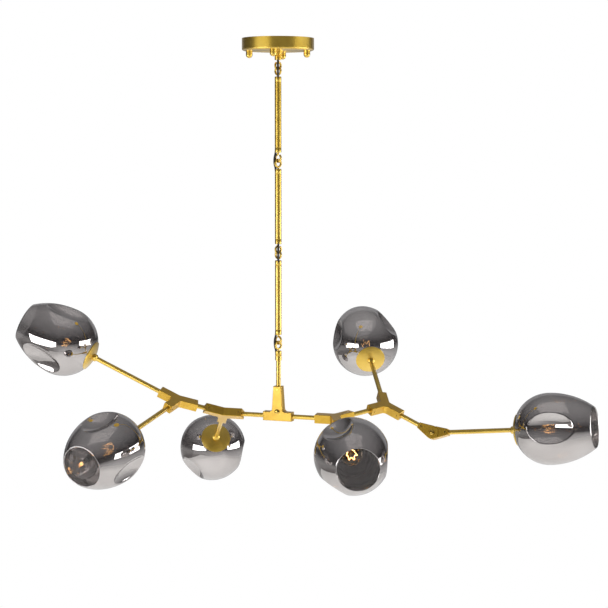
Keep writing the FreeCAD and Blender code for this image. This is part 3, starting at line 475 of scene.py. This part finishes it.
# ------------------------------------------------------------------ lamp
# radii in mm, and heights in mm from the cup's rim
ENVELOPE, ENVELOPE_MIDDLE, ENVELOPE_WALL = 22.5, 62, 1.1
CAP, CAP_ROOT = 6.95, 6.3
CAP_THREADS, CAP_START, CAP_PITCH = 6, 13, 3.4
CROWN_TURNS = 12
CROWN_FOOT, CROWN_TIP = (7.0, 52), (12.0, 72)
FILAMENT_WIRE, LEAD_WIRE = 0.45, 0.3


def lamp(number, place, body):
    """Clear globe lamp: envelope, screw cap, glass mount, filament crown and its leads."""
    outline = arc((0, ENVELOPE_MIDDLE), ENVELOPE, 90, -62, 26)
    outline += [(9.6, 38.4), (9.0, 35.2), (9.0, 34.4)]
    bm = spun(outline, 48)
    bm.transform(place)
    envelope = piece(f"lamp_envelope_{number}", bm, lamp_glass, body)
    wall = envelope.modifiers.new("wall", "SOLIDIFY")
    wall.thickness = ENVELOPE_WALL * MM
    wall.offset = -1
    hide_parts(f"bulb_{number}")

    cap = [(0, 10.2), (4, 10.4), (6.2, 12)]
    for step in range(CAP_THREADS):
        low = CAP_START + step * CAP_PITCH
        cap += [(CAP_ROOT, low), (CAP, low + 1.0), (CAP, low + 1.5), (CAP_ROOT, low + 2.6)]
    cap += [(6.6, 34), (8.9, 34.6), (8.9, 36)]
    bm = spun(cap, 40)
    bm.transform(place)
    piece(f"lamp_cap_{number}", bm, screw_brass, body)

    mount = [(0, 30), (5.5, 31), (4.2, 38), (2.4, 44), (1.6, 52), (2.3, 54), (0, 55)]
    bm = spun(mount, 24)
    bm.transform(place)
    piece(f"lamp_mount_{number}", bm, lamp_glass, body)

    # the filament goes up and down round the mount, and a lead runs up on each side
    stops = []
    for step in range(CROWN_TURNS + 1):
        turn = math.radians(step * 360 / CROWN_TURNS)
        out, high = CROWN_TIP if step % 2 else CROWN_FOOT
        stops.append(Vector((out * math.cos(turn), out * math.sin(turn), high)) * MM)
    filament = wire(f"filament_{number}", stops, FILAMENT_WIRE, place, tungsten)
    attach(filament, body)
    for mark, side in (("a", -1), ("b", 1)):
        stops = [Vector((1.5 * side, 0, 50)), Vector((3 * side, 1, 56)),
                 Vector((5 * side, 1, 62)), Vector((6.6 * side, 0, 66))]
        lead = wire(f"filament_lead_{number}_{mark}", [stop * MM for stop in stops],
                    LEAD_WIRE, place, zinc_steel)
        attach(lead, body)


for number, (at, along, reach, turn, body) in enumerate(LAMPS, 1):
    place = lamp_place(at, along, reach)
    shade(number, place, turn, body)
    lampholder(number, place, body)
    lamp(number, place, body)


# ------------------------------------------------------------------ linked eyes of the stem
# levels in mm of the four pairs of eyes, from the ceiling down, and the side in degrees on
# which the cable passes each pair
FIRST_EYE, EYE_PITCH = -65.0, 194.0
JOINT_LEVELS = [FIRST_EYE - EYE_PITCH * number for number in range(4)]
CABLE_SIDES = (270.0, 180.0, 270.0, 180.0)
LINKS = ("ceiling_mount", "link_1", "link_2", "link_3", "drop")
# where the upper rod ends above a joint, and where the lower one starts below it
UPPER_EDGE, LOWER_EDGE = 18.05, -13.25
# the cable: its diameter, how far off the stem's middle it runs in the rods and beside the
# eyes, how far inside a rod it starts, and how far along it begins to bow and is fully out
CABLE = 4.4
NEAR, FAR = 4.65, 8.0
PORT, STRAIGHT, SLANT = 19.0, 17.0, 28.0


def supply_cable(index):
    """The cable bows out beside two linked eyes."""
    angle = math.radians(CABLE_SIDES[index])
    side = Vector((math.cos(angle), math.sin(angle), 0))
    level = JOINT_LEVELS[index]
    top = level + UPPER_EDGE + PORT
    low = level + LOWER_EDGE - PORT
    heights = [(NEAR, top), (NEAR, top - STRAIGHT), (FAR, top - SLANT),
               (FAR, low + SLANT), (NEAR, low + STRAIGHT), (NEAR, low)]
    stops = [(side * out + UP * high) * MM for out, high in heights]
    name = f"supply_cable_{index + 1}"
    made = wire(name, stops, CABLE / 2, Matrix.Identity(4), cable_black)
    line = wire(name + "_middle", stops, 0, Matrix.Identity(4), cable_black)
    path = [tuple(vert.co) for vert in line.data.vertices]
    bpy.data.objects.remove(line)
    length = sum((Vector(b) - Vector(a)).length for a, b in zip(path, path[1:]))
    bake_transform(made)
    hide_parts(f"cable_jumper_{index + 1}")
    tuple(stops[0])


# radii of a rod and of an eye's wire, then where the turned end stops and starts, in mm from
# the rod's edge at the eye
ROD = 7.0
EYE_WIRE = 2.25
END_LENGTH = 13.0
END_GAP = 1.5


def rod_end(index, sign, body):
    """Turned end that covers a rod's cone up to its eye; sign is 1 above the joint."""
    edge = UPPER_EDGE if sign > 0 else LOWER_EDGE
    # from the hole for the eye's wire over the rounded nose to a groove at the rod
    outline = [(EYE_WIRE + 0.05, END_GAP + 2.0), (EYE_WIRE + 0.05, END_GAP + 0.3),
               (EYE_WIRE + 0.4, END_GAP), (ROD - 1.1, END_GAP),
               (ROD - 0.3, END_GAP + 0.4), (ROD, END_GAP + 1.2),
               (ROD, END_LENGTH - 0.9), (ROD - 0.25, END_LENGTH - 0.6),
               (ROD - 0.25, END_LENGTH - 0.3), (ROD - 0.01, END_LENGTH)]
    bm = spun(outline, 48)
    if sign < 0:
        bm.transform(Matrix.Rotation(math.pi, 4, "X"))
    bm.transform(Matrix.Translation(UP * (JOINT_LEVELS[index] + edge) * MM))
    bmesh.ops.recalc_face_normals(bm, faces=bm.faces)
    place = "low" if sign > 0 else "top"
    piece(f"{body}_{place}_end", bm, satin_brass, body)


for index in range(len(JOINT_LEVELS)):
    rod_end(index, 1, LINKS[index])
    rod_end(index, -1, LINKS[index + 1])
    supply_cable(index)


# ------------------------------------------------------------------ studio
# metres, degrees and watts; azimuth 0 is the camera's side
FLOOR_LEVEL = -2.5
FLOOR_HALF = 3.2
AIM_LEVEL = -0.8
SIDE_DISTANCE, SIDE_LEVEL, SIDE_HEIGHT = 2.6, -0.82, 0.7

floor_mesh = bmesh.new()
bmesh.ops.create_grid(floor_mesh, x_segments=1, y_segments=1, size=FLOOR_HALF)
floor_mesh.transform(Matrix.Translation((0, 0, FLOOR_LEVEL)))
mesh = bpy.data.meshes.new("studio_floor")
floor_mesh.to_mesh(mesh)
floor_mesh.free()
floor = bpy.data.objects.new("studio_floor", mesh)
bpy.context.scene.collection.objects.link(floor)
mesh.materials.append(floor_paint())


def softbox(name, azimuth, distance, level, width, height, power):
    """Rectangular soft light that faces the middle of the branches."""
    light = bpy.data.lights.new(name, "AREA")
    light.shape = "RECTANGLE"
    light.size = width
    light.size_y = height
    light.energy = power
    made = bpy.data.objects.new(name, light)
    spot = Vector((math.sin(math.radians(azimuth)), -math.cos(math.radians(azimuth)), 0))
    made.location = spot * distance + UP * level
    aim = Vector((0, 0, AIM_LEVEL)) - made.location
    made.rotation_euler = aim.to_track_quat("-Z", "Y").to_euler()
    made.visible_camera = False
    bpy.context.scene.collection.objects.link(made)
    return made


softbox("left_softbox", -52, SIDE_DISTANCE, SIDE_LEVEL, 2.5, SIDE_HEIGHT, 32)
softbox("right_softbox", 88, SIDE_DISTANCE, SIDE_LEVEL, 3.0, SIDE_HEIGHT, 34)
overhead = softbox("overhead_softbox", 0, 0.3, 1.6, 2.0, 2.0, 40)
overhead.visible_glossy = False

world = bpy.data.worlds.new("studio")
world.use_nodes = True
bpy.context.scene.world = world
tree = world.node_tree
direction = add(tree, "ShaderNodeTexCoord").outputs["Generated"]
toward = add(tree, "ShaderNodeSeparateXYZ", Vector=direction).outputs
# what metal and glass mirror: pale floor, dark room at eye level, grey ceiling
rise = add(tree, "ShaderNodeMapRange", Value=toward["Z"], From_Min=-1.0, From_Max=1.0)
room = add(tree, "ShaderNodeValToRGB", {"stops": [
    (0.0, "#C8C8C8"), (0.30, "#DCDCDC"), (0.40, "#B0B0B0"), (0.47, "#3C3C3E"),
    (0.60, "#262628"), (0.75, "#6E6E70"), (1.0, "#989899")]}, Fac=rise.outputs["Result"])
# the floor darkens to the left
leftward = add(tree, "ShaderNodeMapRange", Value=toward["X"], From_Min=0.1, From_Max=-0.75)
below = add(tree, "ShaderNodeMapRange", Value=toward["Z"], From_Min=-0.05, From_Max=-0.35)
dark_corner = add(tree, "ShaderNodeMath", {"operation": "MULTIPLY"},
                  i0=leftward.outputs["Result"], i1=below.outputs["Result"])
with_corner = add(tree, "ShaderNodeMix", {"data_type": "RGBA"},
                  Factor=dark_corner.outputs["Value"], i6=room.outputs["Color"],
                  i7=linear("#72706F"))
# a grey wall behind the pendant, about 36 degrees to each side
behind = add(tree, "ShaderNodeMapRange", Value=toward["Y"], From_Min=0.76, From_Max=0.86)
above = add(tree, "ShaderNodeMapRange", Value=toward["Z"], From_Min=-0.04, From_Max=0.02)
back_wall = add(tree, "ShaderNodeMath", {"operation": "MULTIPLY"},
                i0=behind.outputs["Result"], i1=above.outputs["Result"])
with_wall = add(tree, "ShaderNodeMix", {"data_type": "RGBA"},
                Factor=back_wall.outputs["Value"], i6=with_corner.outputs[2],
                i7=linear("#9A9A9C"))
# gloss mirrors this room, dull surfaces get an even grey, and the camera sees white, also
# through glass
rays = add(tree, "ShaderNodeLightPath").outputs
mirrored = add(tree, "ShaderNodeMix", {"data_type": "RGBA"}, Factor=rays["Is Glossy Ray"],
               i6=linear("#E4E4E4"), i7=with_wall.outputs[2])
seen = add(tree, "ShaderNodeMath", {"operation": "MAXIMUM"}, i0=rays["Is Camera Ray"],
           i1=rays["Is Transmission Ray"])
sweep = add(tree, "ShaderNodeMix", {"data_type": "RGBA"}, Factor=seen.outputs["Value"],
            i6=mirrored.outputs[2], i7=(1, 1, 1, 1))
feed(tree, tree.nodes["Background"], Color=sweep.outputs[2], Strength=1.0)

bpy.context.scene.view_settings.view_transform = "Standard"
